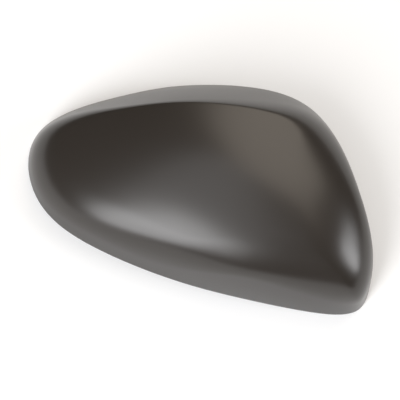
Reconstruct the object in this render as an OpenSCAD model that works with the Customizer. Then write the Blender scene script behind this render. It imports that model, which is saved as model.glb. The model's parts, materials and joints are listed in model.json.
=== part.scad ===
// Wing mirror cover: one injection-moulded plastic cap that snaps over a car's door mirror.
// It lies on its rim. X runs from the narrow inboard nose to the wide outboard end,
// +Y is the creased upper edge of the mirror, and Z runs up from the rim plane to the crowned face.

/* [Cover] */
// Length over the rim, along X
cover_length = 230; // [200:1:260]
// Width over the rim, along Y
cover_width = 135; // [120:1:150]
// Height of the top of the crowned face above the rim
cover_height = 55; // [48:1:62]
// Thickness of the moulded wall
wall = 2.5; // [2.2:0.1:3]

/* [Side wall and shoulder] */
// Inward lean of the side wall between rim and face, where its share is 1
side_lean = 20; // [16:0.5:24]
// How far the side wall bows out of its straight line at half height, where its share is 1
side_crown = 2; // [0:0.1:2.5]
// How far the shoulder's rounding runs down the side wall, where its share is 1
shoulder_drop = 32; // [20:1:36]
// How far the shoulder's rounding reaches over the face, where its share is 1
shoulder_reach = 40; // [24:1:44]

/* [Rim] */
// Height of the thinned lip that laps over the mirror housing
lip_height = 3; // [2:0.5:5]
// Wall thickness left at the lip
lip_wall = 1.4; // [1:0.1:2]

/* [Snap hooks] */
// Width of a hook's tongue
hook_width = 14; // [10:1:18]
// Thickness of a hook's tongue
hook_thick = 2; // [1.5:0.1:2.2]
// Distance of a tongue's outer face from the rim
hook_inset = 14; // [12:1:18]
// Height of the hooks' tips above the rim plane
hook_tip = 6; // [4:0.5:10]
// How far the barb stands out of the tongue
barb_depth = 2.2; // [1:0.1:3]
// Height of the barb along the tongue
barb_height = 5; // [4:0.5:7]

/* [Ribs] */
// Thickness of the stiffening ribs and gussets
rib_thick = 1.2; // [1:0.1:1.5]
// Depth of the stiffening ribs below the inner skin
rib_depth = 5; // [3:0.5:8]
// Distance from the rim to the heel of a gusset, on the side wall
gusset_heel = 6; // [4:0.5:8]
// Distance from the rim to the toe of a plain gusset, under the face
gusset_toe = 26; // [22:1:30]

/* [Locating pins] */
// Radius of a locating pin
pin_radius = 3; // [2:0.25:3.5]
// Length of a locating pin below its boss
pin_length = 8; // [6:0.5:12]
// Height of the chamfer at a pin's tip
pin_chamfer = 1; // [0.5:0.25:1.5]
// Distance between the two pins, along X
pin_spacing = 100; // [80:5:110]
// Radius of the boss that carries a pin
boss_radius = 4.5; // [4:0.25:6]
// Height of both bosses' shoulders above the rim plane
boss_height = 36; // [33:0.5:38]
// Span of the cross of fins round a boss
fin_span = 20; // [16:1:24]

/* [Hidden] */

// The drawn outline: control points of a closed cubic spline, counter-clockwise from the outboard side.
// Each row is x, y, then the shares of side_lean, side_crown, shoulder_drop and shoulder_reach there.
// The crease is sharp where the last two shares are small, and fades into a full shoulder as they grow.
drawn_rim = [
    [97, 15, 0.45, 0.9, 0.45, 0.6],
    [66, 58, 0.8, 0.8, 1.1, 0.35],
    [32, 72, 1.2, 0.7, 0.05, 0.05],
    [-32, 58, 1.05, 1.2, 0.05, 0.05],
    [-64, 42, 0.95, 0.4, 0.05, 0.05],
    [-125, 9, 0.4, 0.3, 0.9, 1],
    [-107, -43, 0.45, 0.5, 0.65, 0.6],
    [-63, -59, 0.45, 0, 0.2, 0.2],
    [-6, -68, 0.7, 0, 0.35, 0.15],
    [30, -67, 0.55, 1.2, 0.4, 0.3],
    [104, -67, 0.7, 0, 1.05, 1.05],
    [122, -48, 0.25, 0.8, 1.1, 1.3]
];
// The drawn face: heights of a bicubic net, rows from the nose outboard, columns from -Y to +Y.
drawn_face = [
    [8, 27, 22, 7],
    [21, 64, 82, 41],
    [42, 70, 67, 38],
    [41, 54, 40, 10]
];
// Point under the face that all its lines run to, as shares of length and width from the middle
core_share = [0.065, 0];
// Places of the snap hooks, as spline parameters along the drawn outline
hook_places = [0.1, 2.1, 3.6, 5.5, 7.5, 9.2];
// Stiffening ribs, each between two such places
rib_places = [[2.1, 9.2], [3.6, 7.5], [0.1, 5.5], [1.3, 10.2], [4.2, 6.6]];
// Plain gussets between the side wall and the face
gusset_places = [1.2, 2.85, 4.4, 6.6, 8.4, 10.6];
// Middle of the pair of pins
pin_middle = [5, -6];

// Steps the surfaces are drawn with
around_steps = 120;
wall_steps = 3;
round_steps = 6;
face_steps = 7;
rib_steps = 14;
gusset_steps = 7;
pin_facets = 48;
// Smallest rounding of the crease
least_round = 1;
// Largest share of a wall or of a face line that a rounding takes up
most_round = 0.8;
// How far the barb and the gussets stand in from the ends of a hook's tongue
hook_step = 0.5;
// Shares of the barb's height at which its flat catch begins and ends
catch_from = 0.6;
catch_to = 0.8;
// Share of a rib's length over which it runs out at each end
rib_runout = 0.25;
// How far the fins stop short of the boss's shoulder
fin_step = 0.5;

spans = len(drawn_rim);
core = [core_share.x * cover_length, core_share.y * cover_width];

// Uniform cubic spline weights and their slopes at fraction f of a span
function weights(f) = [pow(1 - f, 3), 3 * pow(f, 3) - 6 * f * f + 4,
                       -3 * pow(f, 3) + 3 * f * f + 3 * f + 1, pow(f, 3)] / 6;
function weight_slopes(f) = [-pow(1 - f, 2), 3 * f * f - 4 * f, -3 * f * f + 2 * f + 1, f * f] / 2;
// The four rows of a closed spline that rule span i
function ruling_rows(rows, i) = [for (k = [-1:2]) rows[(i + k + 2 * len(rows)) % len(rows)]];
function spline(rows, t) = weights(t - floor(t)) * ruling_rows(rows, floor(t));
function spline_slope(rows, t) = weight_slopes(t - floor(t)) * ruling_rows(rows, floor(t));

// Cubic Bernstein weights
function bernstein(u) = [pow(1 - u, 3), 3 * u * pow(1 - u, 2), 3 * u * u * (1 - u), pow(u, 3)];

// The drawn outline and face are brought to the sizes above
places = [for (i = [0:around_steps - 1]) i * spans / around_steps];
drawn_line = [for (t = places) spline(drawn_rim, t)];
drawn_low = [min([for (p = drawn_line) p.x]), min([for (p = drawn_line) p.y])];
drawn_high = [max([for (p = drawn_line) p.x]), max([for (p = drawn_line) p.y])];
drawn_middle = (drawn_low + drawn_high) / 2;
drawn_size = drawn_high - drawn_low;
drawn_peak = max([for (u = [0.2:0.05:0.9], v = [0.2:0.05:0.8]) bernstein(u) * drawn_face * bernstein(v)]);
rim_rows = [for (r = drawn_rim) [(r.x - drawn_middle.x) * cover_length / drawn_size.x,
                                 (r.y - drawn_middle.y) * cover_width / drawn_size.y,
                                 r[2] * side_lean, r[3] * side_crown,
                                 r[4] * shoulder_drop, r[5] * shoulder_reach]];
face_net = drawn_face * cover_height / drawn_peak;

// Height of the crowned face over a point of the plan
function face_height(p) = bernstein(p.x / cover_length + 0.5) * face_net * bernstein(p.y / cover_width + 0.5);
// The same face moved into the plastic by inset, square to its own slope
function skin_height(p, inset) =
    let (d = 0.5,
         slope_x = (face_height(p + [d, 0]) - face_height(p - [d, 0])) / (2 * d),
         slope_y = (face_height(p + [0, d]) - face_height(p - [0, d])) / (2 * d))
    face_height(p) - inset * sqrt(1 + slope_x * slope_x + slope_y * slope_y);

function unit(v) = v / norm(v);
function plan(p) = [p.x, p.y];
function heading(t) = unit(plan(spline_slope(rim_rows, t)));
function inward(t) = [-heading(t).y, heading(t).x];
function raise(p, z) = [p.x, p.y, z];

// Quadratic curve from a to b, with k as its control point
function bend(a, k, b, f) = a * pow(1 - f, 2) + k * 2 * f * (1 - f) + b * f * f;

// One section of a skin, inset into the plastic: foot on the rim plane, knee that the side wall bows
// towards, top where wall and face would meet, the wall's share below the rounding, and the rounding's
// start, corner and end
function section(t, inset) =
    let (row = spline(rim_rows, t),
         rim = plan(row),
         n = inward(t),
         lean = row[2],
         outer_height = face_height(rim + n * lean),
         side = inset * sqrt(1 + pow(lean / outer_height, 2)),
         first_run = side + lean * skin_height(rim + n * (side + lean), inset) / outer_height,
         run = side + lean * skin_height(rim + n * first_run, inset) / outer_height,
         edge = rim + n * run,
         foot = raise(rim + n * side, 0),
         top = raise(edge, skin_height(edge, inset)),
         knee = (foot + top) / 2 - raise(n, 0) * 2 * row[3],
         drop = max(row[4] - inset, least_round),
         reach = min(max(row[5] - inset, least_round), most_round * norm(core - edge)),
         share = 1 - min(drop / norm(top - foot), most_round),
         start = bend(foot, knee, top, share),
         rise = (knee - foot) * (1 - share) + (top - knee) * share,
         flat = edge + unit(core - edge) * reach,
         end = raise(flat, skin_height(flat, inset)),
         slope = skin_height(flat + unit(core - edge), inset) - end.z,
         corner = start + rise * (end.z - slope * reach - start.z) / rise.z)
    [foot, knee, top, share, start, corner, end];

// Point of a section's side wall at share f of its height
function on_wall(s, f) = bend(s[0], s[1], s[2], f);
function wall_points(s, low) = [for (i = [0:wall_steps]) on_wall(s, low + (s[3] - low) * i / wall_steps)];
function round_points(s) = [for (i = [1:round_steps]) bend(s[4], s[5], s[6], i / round_steps)];
// Points over the face, from the rounding up to just before the core
function face_points(s, inset) = [for (i = [1:face_steps - 1])
    let (p = plan(s[6]) * (1 - i / face_steps) + core * (i / face_steps))
    raise(p, skin_height(p, inset))];

function backwards(list) = [for (i = [len(list) - 1:-1:0]) list[i]];

// Closed line of one section: over the face, down the outside, round the thinned lip, up the inside
function shell_line(t) =
    let (outer = section(t, 0), inner = section(t, wall), lip = section(t, lip_wall))
    concat(backwards(concat(wall_points(outer, 0), round_points(outer), face_points(outer, 0))),
           [lip[0], on_wall(lip, lip_height / lip[2].z)],
           wall_points(inner, lip_height / inner[2].z), round_points(inner), face_points(inner, wall));

module shell() {
    lines = [for (t = places) shell_line(t)];
    rings = len(lines[0]);
    count = around_steps;
    first_pole = count * rings;
    points = concat([for (line = lines, p = line) p],
                    [raise(core, skin_height(core, 0)), raise(core, skin_height(core, wall))]);
    sides = [for (i = [0:count - 1], j = [0:rings - 2])
        let (a = i * rings + j, b = (i + 1) % count * rings + j)
        each [[a, b, b + 1], [a, b + 1, a + 1]]];
    poles = [for (i = [0:count - 1])
        let (a = i * rings, b = (i + 1) % count * rings)
        each [[first_pole, b, a], [first_pole + 1, a + rings - 1, b + rings - 1]]];
    polyhedron(points, concat(sides, poles), convexity = 6);
}

// The middle of the wall, where every rib and hook ends inside the plastic
middle = wall / 2;
function rim_point(t) = plan(spline(rim_rows, t));
// Sections of that middle, each as its rim point, its inward line and its height along that line
middle_lines = [for (t = places)
    let (rim = rim_point(t), n = inward(t), s = section(t, middle))
    [rim, n, concat([for (p = concat(wall_points(s, 0), round_points(s))) [(plan(p) - rim) * n, p.z]],
                    [[(plan(s[6]) - rim) * n + wall, 2 * cover_height]])]];
function nearest(p) =
    let (gaps = [for (line = middle_lines) norm(p - line[0])], least = min(gaps))
    [for (i = [0:around_steps - 1]) if (gaps[i] == least) middle_lines[i]][0];
// Height of the middle of the wall over a point of the plan, on the side wall, the shoulder or the face
function middle_height(p) =
    let (line = nearest(p))
    min(skin_height(p, middle), lookup((p - line[0]) * line[1], line[2]));

// Plate of a given thickness, drawn in its own upright plane from one plan point towards another
module upright(from, to, thick) {
    translate(from)
        rotate([90, 0, atan2(to.y - from.y, to.x - from.x)])
            linear_extrude(thick, center = true)
                children();
}

// Low rib under the face, between two places of the outline, running out to nothing at both ends
module rib(ends) {
    a = plan(section(ends[0], middle)[6]);
    b = plan(section(ends[1], middle)[6]);
    shares = [for (i = [0:rib_steps]) i / rib_steps];
    upright(a, b, rib_thick)
        polygon(concat(
            [for (f = shares) [f * norm(b - a), middle_height(a + (b - a) * f)]],
            [for (i = [rib_steps - 1:-1:1])
                let (f = shares[i], depth = rib_depth * min(1, f / rib_runout, (1 - f) / rib_runout))
                [f * norm(b - a), skin_height(a + (b - a) * f, wall) - depth]]));
}

// Web in the corner of wall and face, square to the rim, from its heel on the wall to its toe under the
// face. Its free edge is straight, or square-cornered where it has a tongue to carry.
module gusset(rim, n, toe, square) {
    heel = rim + n * gusset_heel;
    span = toe - gusset_heel;
    top = [for (i = [0:gusset_steps])
        let (y = span * i / gusset_steps)
        [y, middle_height(heel + n * y)]];
    upright(heel, heel + n, rib_thick)
        polygon(square ? concat(top, [[span, top[0].y]]) : top);
}

// Springy tongue with a barb at its tip, carried by two gussets
module hook(t) {
    along = heading(t);
    n = inward(t);
    seat = rim_point(t) + n * (hook_inset + hook_thick / 2);
    half = hook_width / 2;
    step = hook_width / 6;
    upright(seat - along * half, seat + along * half, hook_thick)
        polygon(concat([[0, hook_tip], [hook_width, hook_tip]],
                       [for (i = [3:-1:-3]) [half + i * step, middle_height(seat + along * i * step)]]));
    barb_low = hook_tip + hook_step;
    upright(seat, seat + n, hook_width - 2 * hook_step)
        polygon([[0, barb_low],
                 [hook_thick / 2, barb_low],
                 [hook_thick / 2 + barb_depth, barb_low + catch_from * barb_height],
                 [hook_thick / 2 + barb_depth, barb_low + catch_to * barb_height],
                 [hook_thick / 2, barb_low + barb_height],
                 [0, barb_low + barb_height]]);
    for (side = [-1, 1])
        gusset(rim_point(t) + along * side * (half - hook_step - rib_thick / 2), n,
               hook_inset + hook_thick / 2, true);
}

// Stepped round pin on a finned boss, with a chamfered tip
module locating_pin(place) {
    tip = boss_height - pin_length;
    root = middle_height(place);
    translate(place)
        rotate_extrude($fn = pin_facets)
            polygon([[0, tip], [pin_radius - pin_chamfer, tip], [pin_radius, tip + pin_chamfer],
                     [pin_radius, boss_height], [boss_radius, boss_height], [boss_radius, root], [0, root]]);
    for (side = [[1, 0], [0, 1]]) {
        a = place - side * fin_span / 2;
        b = place + side * fin_span / 2;
        upright(a, b, rib_thick)
            polygon([[0, middle_height(a)], [fin_span / 2, root], [fin_span, middle_height(b)],
                     [fin_span / 2 + boss_radius, boss_height + fin_step],
                     [fin_span / 2 - boss_radius, boss_height + fin_step]]);
    }
}

module mirror_cover() {
    color("#4b4743")
        union() {
            shell();
            for (t = hook_places)
                hook(t);
            for (ends = rib_places)
                rib(ends);
            for (t = gusset_places)
                gusset(rim_point(t), inward(t), gusset_toe, false);
            for (side = [-1, 1])
                locating_pin(pin_middle + [side * pin_spacing / 2, 0]);
        }
}

mirror_cover();
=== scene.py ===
import json
from collections import namedtuple

import bpy
import numpy as np
from mathutils import Matrix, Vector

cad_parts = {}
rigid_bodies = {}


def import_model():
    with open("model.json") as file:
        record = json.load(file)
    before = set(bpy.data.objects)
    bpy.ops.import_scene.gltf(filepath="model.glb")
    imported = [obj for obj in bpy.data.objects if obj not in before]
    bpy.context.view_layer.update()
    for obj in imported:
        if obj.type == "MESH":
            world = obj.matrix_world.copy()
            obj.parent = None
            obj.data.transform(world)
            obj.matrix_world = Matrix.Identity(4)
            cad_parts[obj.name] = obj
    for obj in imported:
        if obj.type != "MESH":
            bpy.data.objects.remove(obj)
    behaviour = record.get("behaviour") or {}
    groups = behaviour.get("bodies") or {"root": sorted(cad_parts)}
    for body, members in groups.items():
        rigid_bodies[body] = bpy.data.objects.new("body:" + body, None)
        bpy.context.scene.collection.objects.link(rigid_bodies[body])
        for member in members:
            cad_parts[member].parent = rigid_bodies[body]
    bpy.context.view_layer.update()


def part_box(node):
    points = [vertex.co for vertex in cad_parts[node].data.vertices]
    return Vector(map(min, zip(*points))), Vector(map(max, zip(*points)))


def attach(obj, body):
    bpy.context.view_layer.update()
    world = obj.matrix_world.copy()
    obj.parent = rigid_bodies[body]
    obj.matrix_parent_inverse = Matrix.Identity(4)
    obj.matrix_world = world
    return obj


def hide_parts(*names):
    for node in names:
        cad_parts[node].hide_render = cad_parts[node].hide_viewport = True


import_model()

# The skin of the cap, injection-moulded in one shot of dark satin plastic, 2.5 mm thick, with a thinned lip
# inside the rim that laps over the mirror housing. It is drawn again here the way the solid is, with many
# more points, and with a tighter shoulder round the lower outboard corner. Sizes are in millimetres.
MM = 0.001
box_low, box_high = (np.array(corner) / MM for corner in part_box("mirror_cover"))
cover_length, cover_width, cover_height = box_high - box_low
wall = 2.5
side_lean = 20
side_crown = 2
shoulder_drop = 32
shoulder_reach = 40
lip_height = 3
lip_wall = 1.4
rim_edge = 0.45
least_round = 1
most_round = 0.8
core_share = 0.065
core = np.array([core_share * cover_length, 0])
around_steps = 480
round_steps = 20
face_steps = 36
wall_steps = 14
edge_steps = 4

# Rows of x, y, then the shares of side_lean, side_crown, shoulder_drop and shoulder_reach at that point
drawn_rim = np.array([
    [97.5, 9, 0.24, 0.6, 0.2, 1.2],
    [69.5, 56, 0.46, 0.8, 0.9, 0.4],
    [32.5, 72, 1.22, 0, 0.5, 0.06],
    [-31, 58.5, 1.1, 1.08, 0.1, 0.02],
    [-63.5, 43, 0.98, 0.46, 0.02, 0.02],
    [-125, 8.5, 0.26, 0.1, 0.56, 0.34],
    [-106.5, -42.5, 0.54, 0.2, 0.7, 0.6],
    [-64, -59.5, 0.46, 0.1, 0.44, 0.7],
    [-7, -67.5, 0.56, 0.02, 0.88, 0.22],
    [34, -68, 0.66, 0.38, 0.16, 0.44],
    [87.5, -66, 0.8, 0.5, 0.9, 0.84],
    [109, -61, 0.5, 0, 0.88, 1.04],
    [115.5, -51, 0.34, 0.3, 0.95, 1.1],
    [114, -25, 0.2, 0.5, 0.92, 1.35],
])
# Heights of a bicubic net, rows from the nose outboard, columns from -Y to +Y
drawn_face = np.array([
    [11, 29, 20.5, 6.5],
    [23.5, 64, 81, 43],
    [45, 68.5, 66, 42],
    [43, 53.5, 40.5, 12.5],
])


def spline(rows, t):
    """Closed uniform cubic spline: the four rows round t, weighted by (1-f)^3, 3f^3-6f^2+4,
    -3f^3+3f^2+3f+1 and f^3 over 6, where f is the fraction of t."""
    first = np.floor(t).astype(int) - 1
    f = (t - np.floor(t))[:, None]
    weights = ((1 - f) ** 3, 3 * f**3 - 6 * f**2 + 4, -3 * f**3 + 3 * f**2 + 3 * f + 1, f**3)
    return sum(w * rows[(first + k) % len(rows)] for k, w in enumerate(weights)) / 6


def bernstein(u):
    """Cubic Bernstein weights of u, as a last axis of four."""
    return np.stack([(1 - u) ** 3, 3 * u * (1 - u) ** 2, 3 * u**2 * (1 - u), u**3], axis=-1)


def net_height(net, p):
    """Bicubic surface: the net's heights, each weighted by the Bernstein weights of p's shares of the
    length and of the width."""
    u = p[..., 0] / cover_length + 0.5
    v = p[..., 1] / cover_width + 0.5
    return np.einsum("...i,...j,ij->...", bernstein(u), bernstein(v), net)


all_round = np.linspace(0, len(drawn_rim), around_steps, endpoint=False)
drawn_line = spline(drawn_rim, all_round)[:, :2]
drawn_low, drawn_high = drawn_line.min(axis=0), drawn_line.max(axis=0)
rim_scale = [cover_length, cover_width] / (drawn_high - drawn_low)
rim_rows = np.column_stack([
    (drawn_rim[:, :2] - (drawn_low + drawn_high) / 2) * rim_scale,
    drawn_rim[:, 2:] * [side_lean, side_crown, shoulder_drop, shoulder_reach],
])
# The face's highest point lies well inside this part of its plan
crown_along = np.linspace(-0.3, 0.4, 561) * cover_length
crown_across = np.linspace(-0.3, 0.3, 481) * cover_width
plan_grid = np.stack(np.meshgrid(crown_along, crown_across), axis=-1)
face_net = drawn_face * cover_height / net_height(drawn_face, plan_grid).max()


def skin_height(p, inset):
    """The crowned face, or the same face moved into the plastic by inset, square to its own slope."""
    d = 0.5
    slope_x = (net_height(face_net, p + [d, 0]) - net_height(face_net, p - [d, 0])) / (2 * d)
    slope_y = (net_height(face_net, p + [0, d]) - net_height(face_net, p - [0, d])) / (2 * d)
    return net_height(face_net, p) - inset * np.sqrt(1 + slope_x**2 + slope_y**2)


def unit(v):
    """Vectors divided by their own lengths."""
    return v / np.linalg.norm(v, axis=-1, keepdims=True)


def heading(t):
    """Direction of the rim at t, from a short chord across it."""
    d = 1e-4
    return unit(spline(rim_rows, t + d)[:, :2] - spline(rim_rows, t - d)[:, :2])


def inward(t):
    """The rim's heading turned left, which is towards the inside."""
    return heading(t)[:, ::-1] * [-1, 1]


def raised(p, z):
    """Plan points with a height put to them."""
    return np.column_stack([p, np.broadcast_to(z, len(p))])


def bent(start, control, end, share):
    """Points of parabolas from start to end: (1-s)^2 start + 2s(1-s) control + s^2 end, at share s."""
    share = np.broadcast_to(share, len(start))[:, None]
    return start * (1 - share) ** 2 + control * 2 * share * (1 - share) + end * share**2


Section = namedtuple("Section", "foot knee top share start corner end")


def section(t, inset):
    """Sections of a skin at each t: foot on the rim plane, knee that the side wall bows towards, top where
    wall and face would meet, the wall's share below the rounding, and the rounding's start, corner
    and end."""
    row = spline(rim_rows, t)
    rim, n, lean = row[:, :2], inward(t), row[:, 2]
    outer_height = skin_height(rim + n * lean[:, None], 0)
    side = inset * np.sqrt(1 + (lean / outer_height) ** 2)
    run = side + lean
    for _ in range(2):
        run = side + lean * skin_height(rim + n * run[:, None], inset) / outer_height
    edge = rim + n * run[:, None]
    foot = raised(rim + n * side[:, None], 0)
    top = raised(edge, skin_height(edge, inset))
    knee = (foot + top) / 2 - raised(n, 0) * 2 * row[:, 3:4]
    wall_length = np.linalg.norm(top - foot, axis=1)
    core_distance = np.linalg.norm(core - edge, axis=1)
    drop = np.minimum(np.maximum(row[:, 4] - inset, least_round), most_round * wall_length)
    reach = np.minimum(np.maximum(row[:, 5] - inset, least_round), most_round * core_distance)
    share = 1 - drop / wall_length
    start = bent(foot, knee, top, share)
    rise = (knee - foot) * (1 - share)[:, None] + (top - knee) * share[:, None]
    flat = edge + unit(core - edge) * reach[:, None]
    end = raised(flat, skin_height(flat, inset))
    slope = skin_height(flat + unit(core - edge), inset) - end[:, 2]
    corner = start + rise * ((end[:, 2] - slope * reach - start[:, 2]) / rise[:, 2])[:, None]
    return Section(foot, knee, top, share, start, corner, end)


def on_wall(skin, share):
    """Points of the bowed side wall at a share of its height."""
    return bent(skin.foot, skin.knee, skin.top, share)


def wall_rings(skin, low):
    """Rings of the side wall from the share low of its height up to the rounding, even steps apart."""
    return [on_wall(skin, low + (skin.share - low) * s) for s in np.linspace(0, 1, wall_steps + 1)]


def round_rings(skin):
    """Rings of the shoulder's rounding, from its start on the wall to its end on the face."""
    return [bent(skin.start, skin.corner, skin.end, s) for s in np.linspace(0, 1, round_steps + 1)]


def face_rings(skin, inset):
    """Rings over the face, drawn straight in plan from the rounding's end to just before the core."""
    shares = np.linspace(0, 1, face_steps, endpoint=False)[1:]
    plans = [skin.end[:, :2] * (1 - s) + core * s for s in shares]
    return [raised(p, skin_height(p, inset)) for p in plans]


def softened(before, corner, after, radius):
    """A moulded edge: a parabola round the corner, from radius before it to radius after it."""
    start, end = corner + unit(before - corner) * radius, corner + unit(after - corner) * radius
    return [bent(start, corner, end, s) for s in np.linspace(0, 1, edge_steps + 1)]


def closed_rings(rings, first_pole, last_pole):
    """Points and faces of a skin through all rings, wrapped round and closed by a pole at both ends."""
    count, steps = len(rings[0]), len(rings)
    points = np.vstack([np.stack(rings, axis=1).reshape(-1, 3), first_pole, last_pole])
    i, j = np.meshgrid(np.arange(count), np.arange(steps - 1), indexing="ij")
    a, b = i * steps + j, (i + 1) % count * steps + j
    quads = np.stack([a, a + 1, b + 1, b], axis=-1).reshape(-1, 4).tolist()
    a, b = np.arange(count) * steps, (np.arange(count) + 1) % count * steps
    start = np.full(count, len(points) - 2)
    end = start + 1
    caps = np.vstack([np.column_stack([start, a, b]), np.column_stack([end, b + steps - 1, a + steps - 1])])
    return points, quads + caps.tolist()


def new_piece(name, points, faces):
    """An object at the origin from points in millimetres."""
    mesh = bpy.data.meshes.new(name)
    mesh.from_pydata((np.asarray(points) * MM).tolist(), [], faces)
    mesh.shade_smooth()
    piece = bpy.data.objects.new(name, mesh)
    bpy.context.scene.collection.objects.link(piece)
    return piece


outer = section(all_round, 0)
lip = section(all_round, lip_wall)
inner = section(all_round, wall)
lip_top = on_wall(lip, lip_height / lip.top[:, 2])
ledge = on_wall(inner, lip_height / inner.top[:, 2])
rim_outside = softened(outer.knee, outer.foot, lip.foot, rim_edge)
rim_inside = softened(outer.foot, lip.foot, lip_top, rim_edge)
ledge_edge = softened(lip_top, ledge, inner.knee, rim_edge)
skin_rings = (
    face_rings(outer, 0)[::-1]
    + round_rings(outer)[::-1]
    + wall_rings(outer, rim_outside[0][:, 2] / outer.top[:, 2])[-2:0:-1]
    + rim_outside
    + rim_inside
    + [lip_top]
    + ledge_edge
    + wall_rings(inner, ledge_edge[-1][:, 2] / inner.top[:, 2])[1:-1]
    + round_rings(inner)
    + face_rings(inner, wall)
)
core_point = core[None]
outer_pole = raised(core_point, skin_height(core_point, 0))
inner_pole = raised(core_point, skin_height(core_point, wall))
cover = new_piece("cover", *closed_rings(skin_rings, outer_pole, inner_pole))

# The stiffening ribs and the gussets under the face. They are thin plates of the same moulding, all drawn
# upwards out of the mould, so every one stands upright and ends inside the skin.
rib_thick = 1.2
rib_depth = 5
rib_runout = 0.25
rib_steps = 28
rib_places = [(2.12, 9.24), (3.62, 7.52), (0.13, 5.51), (1.37, 10.74), (4.21, 6.61)]
gusset_places = [1.27, 2.87, 4.41, 6.61, 8.38, 11.61]
gusset_heel = 6
gusset_toe = 26
gusset_steps = 14
plate_edge = 0.25
plate_edge_cuts = 2
plate_edge_angle = np.radians(30)
middle = wall / 2

middle_skin = section(all_round, middle)
middle_rim, middle_inward = spline(rim_rows, all_round)[:, :2], inward(all_round)
middle_rings = np.stack(wall_rings(middle_skin, 0) + round_rings(middle_skin)[1:], axis=1)
middle_runs = ((middle_rings[..., :2] - middle_rim[:, None]) * middle_inward[:, None]).sum(axis=-1)


def middle_height(p):
    """Height of the middle of the wall over each plan point: on the nearest section of the side wall or the
    shoulder, straight between its rings, or under the face, whichever is lower."""
    nearest = np.linalg.norm(p[:, None] - middle_rim[None], axis=-1).argmin(axis=1)
    run = ((p - middle_rim[nearest]) * middle_inward[nearest]).sum(axis=-1)
    last = middle_runs.shape[1] - 1
    ring = np.clip((middle_runs[nearest] < run[:, None]).sum(axis=1), 1, last)
    before, after = middle_runs[nearest, ring - 1], middle_runs[nearest, ring]
    share = np.clip((run - before) / (after - before), 0, 1)
    low, high = middle_rings[nearest, ring - 1, 2], middle_rings[nearest, ring, 2]
    side_height = np.where(run > middle_runs[nearest, last], cover_height, low + (high - low) * share)
    return np.minimum(skin_height(p, middle), side_height)


def at(t):
    """Rim point, heading and inward direction at one place of the outline."""
    t = np.array([t])
    return spline(rim_rows, t)[0, :2], heading(t)[0], inward(t)[0]


details = bpy.data.collections.new("details")


def soften_edges(piece, width):
    """Rounds a detail's sharp edges as the mould's cutter leaves them, and puts it with the details."""
    rounding = piece.modifiers.new("rounded edges", "BEVEL")
    rounding.width = width * MM
    rounding.segments = plate_edge_cuts
    rounding.angle_limit = plate_edge_angle
    bpy.context.scene.collection.objects.unlink(piece)
    details.objects.link(piece)


def upright_plate(name, start, along, thick, outline):
    """A prism: the outline (run, height) drawn in the upright plane through start, thickened to both
    sides."""
    outline = np.asarray(outline, float)
    line = np.column_stack([start + along * outline[:, :1], outline[:, 1]])
    aside = np.array([-along[1], along[0], 0]) * thick / 2
    count = len(line)
    k = np.arange(count)
    walls = np.column_stack([k, (k + 1) % count, (k + 1) % count + count, k + count])
    faces = [k[::-1].tolist(), (k + count).tolist()] + walls.tolist()
    piece = new_piece(name, np.vstack([line + aside, line - aside]), faces)
    soften_edges(piece, plate_edge)


def rib(name, ends):
    """Low rib between two ends of the shoulder's rounding: top in the middle of the wall, lower edge
    rib_depth under the inner skin, running out to nothing over a quarter of its length at both ends."""
    a, b = section(np.array(ends), middle).end[:, :2]
    shares = np.linspace(0, 1, rib_steps + 1)
    line = a + (b - a) * shares[:, None]
    depth = rib_depth * np.minimum(1, np.minimum(shares, 1 - shares) / rib_runout)
    run = shares * np.linalg.norm(b - a)
    top = np.column_stack([run, middle_height(line)])
    low = np.column_stack([run, skin_height(line, wall) - depth])[1:-1]
    upright_plate(name, a, unit(b - a), rib_thick, np.vstack([top, low[::-1]]))


def gusset(name, rim, n, toe, square):
    """Web in the corner of wall and face: along the middle of the wall from heel to toe, then straight back,
    or by a square corner where it carries a tongue."""
    heel = rim + n * gusset_heel
    run = np.linspace(0, toe - gusset_heel, gusset_steps + 1)
    top = np.column_stack([run, middle_height(heel + n * run[:, None])])
    upright_plate(name, heel, n, rib_thick, np.vstack([top, [run[-1], top[0, 1]]]) if square else top)


for number, ends in enumerate(rib_places):
    rib(f"rib {number}", ends)
for number, place in enumerate(gusset_places):
    rim, along, n = at(place)
    gusset(f"gusset {number}", rim, n, gusset_toe, False)

# The snap hooks. Each is a springy tongue with a barb that clicks behind a slot in the mirror housing,
# moulded with the cap and stiffened by two gussets near its root.
hook_places = [0.13, 2.12, 3.62, 5.51, 7.52, 9.24]
hook_width = 14
hook_thick = 2
hook_inset = 14
hook_tip = 6
hook_step = 0.5
barb_depth = 2.2
barb_height = 5
catch_from = 0.6
catch_to = 0.8
root_steps = 12


def hook(name, place):
    """Tongue across the inward direction, its top in the middle of the wall. The barb and the two gussets
    stand square to it."""
    rim, along, n = at(place)
    seat = rim + n * (hook_inset + hook_thick / 2)
    half = hook_width / 2
    aside = np.linspace(half, -half, root_steps + 1)
    root = np.column_stack([aside + half, middle_height(seat + along * aside[:, None])])
    upright_plate(
        f"{name} tongue", seat - along * half, along, hook_thick,
        np.vstack([[0, hook_tip], [hook_width, hook_tip], root]),
    )
    face = hook_thick / 2
    low = hook_tip + hook_step
    upright_plate(
        f"{name} barb", seat, n, hook_width - 2 * hook_step,
        [
            [0, low],
            [face, low],
            [face + barb_depth, low + catch_from * barb_height],
            [face + barb_depth, low + catch_to * barb_height],
            [face, low + barb_height],
            [0, low + barb_height],
        ],
    )
    for end in (-1, 1):
        foot = rim + along * end * (half - hook_step - rib_thick / 2)
        gusset(f"{name} gusset {end}", foot, n, hook_inset + hook_thick / 2, True)


for number, place in enumerate(hook_places):
    hook(f"hook {number}", place)

# The two locating pins. Each is a chamfered pin on a wider boss, held upright by a cross of fins,
# and finds its hole in the housing before the hooks click in.
pin_middle = np.array([5, -6])
pin_spacing = 100
pin_radius = 3
pin_length = 8
pin_chamfer = 1
boss_radius = 4.5
boss_height = 36
fin_span = 20
fin_step = 0.5
pin_facets = 64


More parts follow.
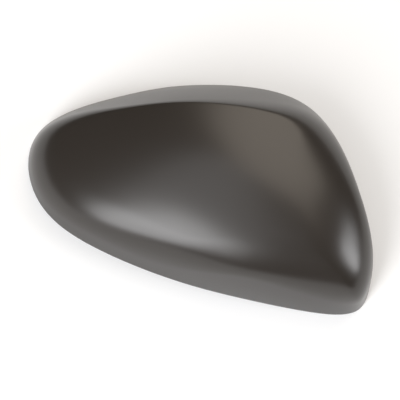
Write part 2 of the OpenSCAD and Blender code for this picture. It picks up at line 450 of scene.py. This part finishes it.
def turned(name, spot, profile):
    """A solid of revolution: the profile (radius, height), closed by a pole at both ends, round the upright
    axis through the spot."""
    angle = np.linspace(0, 2 * np.pi, pin_facets, endpoint=False)
    around = np.column_stack([np.cos(angle), np.sin(angle)])
    rings = [raised(spot + around * radius, height) for radius, height in profile[1:-1]]
    poles = [raised(spot[None], height) for radius, height in (profile[0], profile[-1])]
    piece = new_piece(name, *closed_rings(rings, *poles))
    soften_edges(piece, plate_edge)


def locating_pin(name, spot):
    """Pin and boss turned in one, with two crossed fins whose tops follow the middle of the wall."""
    root = middle_height(spot[None])[0]
    tip = boss_height - pin_length
    turned(name, spot, [
        (0, root),
        (boss_radius, root),
        (boss_radius, boss_height),
        (pin_radius, boss_height),
        (pin_radius, tip + pin_chamfer),
        (pin_radius - pin_chamfer, tip),
        (0, tip),
    ])
    for number, along in enumerate(np.eye(2)):
        start = spot - along * fin_span / 2
        ends = middle_height(np.array([start, start + along * fin_span]))
        upright_plate(f"{name} fin {number}", start, along, rib_thick, [
            [0, ends[0]],
            [fin_span / 2, root],
            [fin_span, ends[1]],
            [fin_span / 2 + boss_radius, boss_height + fin_step],
            [fin_span / 2 - boss_radius, boss_height + fin_step],
        ])


for end in (-1, 1):
    locating_pin(f"pin {end}", pin_middle + [end * pin_spacing / 2, 0])

# All of these leave the mould as one piece, so they are fused with the skin.
sharp_edge = np.radians(28)
fusing = cover.modifiers.new("one moulding", "BOOLEAN")
fusing.operation = "UNION"
fusing.solver = "MANIFOLD"
fusing.operand_type = "COLLECTION"
fusing.collection = details
bpy.context.scene.collection.children.link(details)
fused = bpy.data.meshes.new_from_object(cover.evaluated_get(bpy.context.evaluated_depsgraph_get()))
cover.modifiers.clear()
cover.data = fused
for piece in list(details.objects):
    bpy.data.objects.remove(piece)
bpy.data.collections.remove(details)
fused.shade_smooth()
fused.set_sharp_from_angle(angle=sharp_edge)

# The plastic. It is coloured through and comes unpainted out of a finely etched mould, which gives it a
# satin gloss and a grain too fine to see from a distance.
plastic_colour = (0.031, 0.026, 0.022, 1)
plastic_roughness = 0.28
plastic_index = 1.5
grain_cells = 2600
grain_detail = 3
grain_depth = 2e-6

plastic = bpy.data.materials.new("moulded satin plastic")
plastic.use_nodes = True
nodes, links = plastic.node_tree.nodes, plastic.node_tree.links
shader = nodes["Principled BSDF"]
shader.inputs["Base Color"].default_value = plastic_colour
shader.inputs["Roughness"].default_value = plastic_roughness
shader.inputs["IOR"].default_value = plastic_index
own_place = nodes.new("ShaderNodeTexCoord")
etching = nodes.new("ShaderNodeTexNoise")
etching.inputs["Scale"].default_value = grain_cells
etching.inputs["Detail"].default_value = grain_detail
links.new(own_place.outputs["Object"], etching.inputs["Vector"])
grain = nodes.new("ShaderNodeBump")
grain.inputs["Strength"].default_value = 1
grain.inputs["Distance"].default_value = grain_depth
links.new(etching.outputs["Fac"], grain.inputs["Height"])
links.new(grain.outputs["Normal"], shader.inputs["Normal"])
cover.data.materials.clear()
cover.data.materials.append(plastic)
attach(cover, "root")
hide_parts("mirror_cover")

# The table of the photo studio, flat, round and white. It shows a little brighter than it is lit, as the
# photo's white surface does. From below it can't be seen, so that the cover's hidden side shows from there.
table_radius = 1200
table_facets = 96
table_colour = (0.8, 0.8, 0.8, 1)
table_glow = 0.2

table_angle = np.linspace(0, 2 * np.pi, table_facets, endpoint=False)
table_edge = raised(table_radius * np.column_stack([np.cos(table_angle), np.sin(table_angle)]), 0)
table = new_piece("studio table", table_edge, [list(range(table_facets))])

white = bpy.data.materials.new("white table")
white.use_nodes = True
white_nodes, white_links = white.node_tree.nodes, white.node_tree.links
white_nodes.remove(white_nodes["Principled BSDF"])
paper = white_nodes.new("ShaderNodeBsdfDiffuse")
paper.inputs["Color"].default_value = table_colour
glow = white_nodes.new("ShaderNodeEmission")
rays = white_nodes.new("ShaderNodeLightPath")


def larger(first, second):
    """The larger of two masks."""
    node = white_nodes.new("ShaderNodeMath")
    node.operation = "MAXIMUM"
    white_links.new(first, node.inputs[0])
    white_links.new(second, node.inputs[1])
    return node.outputs["Value"]


mirrored = larger(rays.outputs["Is Glossy Ray"], rays.outputs["Is Transmission Ray"])
seen = larger(rays.outputs["Is Camera Ray"], mirrored)
strength = white_nodes.new("ShaderNodeMath")
strength.operation = "MULTIPLY"
white_links.new(seen, strength.inputs[0])
strength.inputs[1].default_value = table_glow
white_links.new(strength.outputs["Value"], glow.inputs["Strength"])
lit = white_nodes.new("ShaderNodeAddShader")
white_links.new(paper.outputs["BSDF"], lit.inputs[0])
white_links.new(glow.outputs["Emission"], lit.inputs[1])
clear = white_nodes.new("ShaderNodeBsdfTransparent")
behind = white_nodes.new("ShaderNodeNewGeometry")
both = white_nodes.new("ShaderNodeMixShader")
white_links.new(larger(behind.outputs["Backfacing"], rays.outputs["Is Shadow Ray"]), both.inputs["Fac"])
white_links.new(lit.outputs["Shader"], both.inputs[1])
white_links.new(clear.outputs["BSDF"], both.inputs[2])
white_links.new(both.outputs["Shader"], white_nodes["Material Output"].inputs["Surface"])
table.data.materials.append(white)

# The lamps, oval soft boxes that all face the cover: a key lamp at the lower side, a narrow upright one
# outboard, a wide one beyond the crease, a tall one over the nose, and one under the table for views from
# below. Each has its azimuth, elevation, half its width and half its height as seen from the cover, and its
# roll, all in degrees, then its distance in metres, its power in watts and its colour.
lamp_target = np.array([0, 0, 0.02])
daylight = (0.98, 0.985, 1)
warm_white = (1, 0.9, 0.78)
lamps = {
    "key": (-115, 32, 13, 28, 0, 1.4, 18.5, daylight),
    "outboard": (8, 24, 7, 20, -15, 1.8, 14, daylight),
    "crease": (77, 46, 17, 32, 13, 1.8, 17.3, warm_white),
    "nose": (-128, 66, 14, 40, 19, 1.8, 10.8, daylight),
    "under": (-127, -84, 16, 16, 0, 1.6, 40, daylight),
}
for name, (*degrees, distance, power, colour) in lamps.items():
    azimuth, elevation, half_width, half_height, roll = np.radians(degrees)
    light = bpy.data.lights.new(name, "AREA")
    light.shape = "ELLIPSE"
    light.size = 2 * distance * np.tan(half_width)
    light.size_y = 2 * distance * np.tan(half_height)
    light.energy = power
    light.color = colour
    lamp = bpy.data.objects.new(name, light)
    lamp.visible_camera = False
    back = np.array([
        np.cos(elevation) * np.cos(azimuth), np.cos(elevation) * np.sin(azimuth), np.sin(elevation)
    ])
    level = np.array([-np.sin(azimuth), np.cos(azimuth), 0])
    steep = np.cross(back, level)
    across = np.cos(roll) * level + np.sin(roll) * steep
    along = np.cos(roll) * steep - np.sin(roll) * level
    pose = Matrix(np.column_stack([across, along, back]).tolist()).to_4x4()
    lamp.matrix_world = Matrix.Translation(lamp_target + back * distance) @ pose
    bpy.context.scene.collection.objects.link(lamp)

room_colour = (0.04, 0.04, 0.04, 1)
world = bpy.data.worlds.new("dim room")
world.use_nodes = True
world.node_tree.nodes["Background"].inputs["Color"].default_value = room_colour
bpy.context.scene.world = world

# The camera looks down on the crowned face from the lower side, ten degrees off the vertical,
# with the cover's length turned clockwise in the picture.
camera_elevation = np.radians(80)
camera_turn = np.radians(-14)
camera_distance = 1
camera_aim = np.array([-0.00086, -0.01699, 0.02505])
lens_length = 145.5
right = np.array([np.cos(camera_turn), -np.sin(camera_turn), 0])
forward = np.array([np.sin(camera_turn), np.cos(camera_turn), 0])
back = np.array([0, 0, np.sin(camera_elevation)]) - forward * np.cos(camera_elevation)
up = np.cross(back, right)
lens = bpy.data.cameras.new("camera")
lens.lens = lens_length
camera = bpy.data.objects.new("camera", lens)
camera_pose = Matrix(np.column_stack([right, up, back]).tolist()).to_4x4()
camera.matrix_world = Matrix.Translation(camera_aim + back * camera_distance) @ camera_pose
bpy.context.scene.collection.objects.link(camera)
bpy.context.scene.camera = camera
bpy.context.scene.view_settings.view_transform = "Standard"
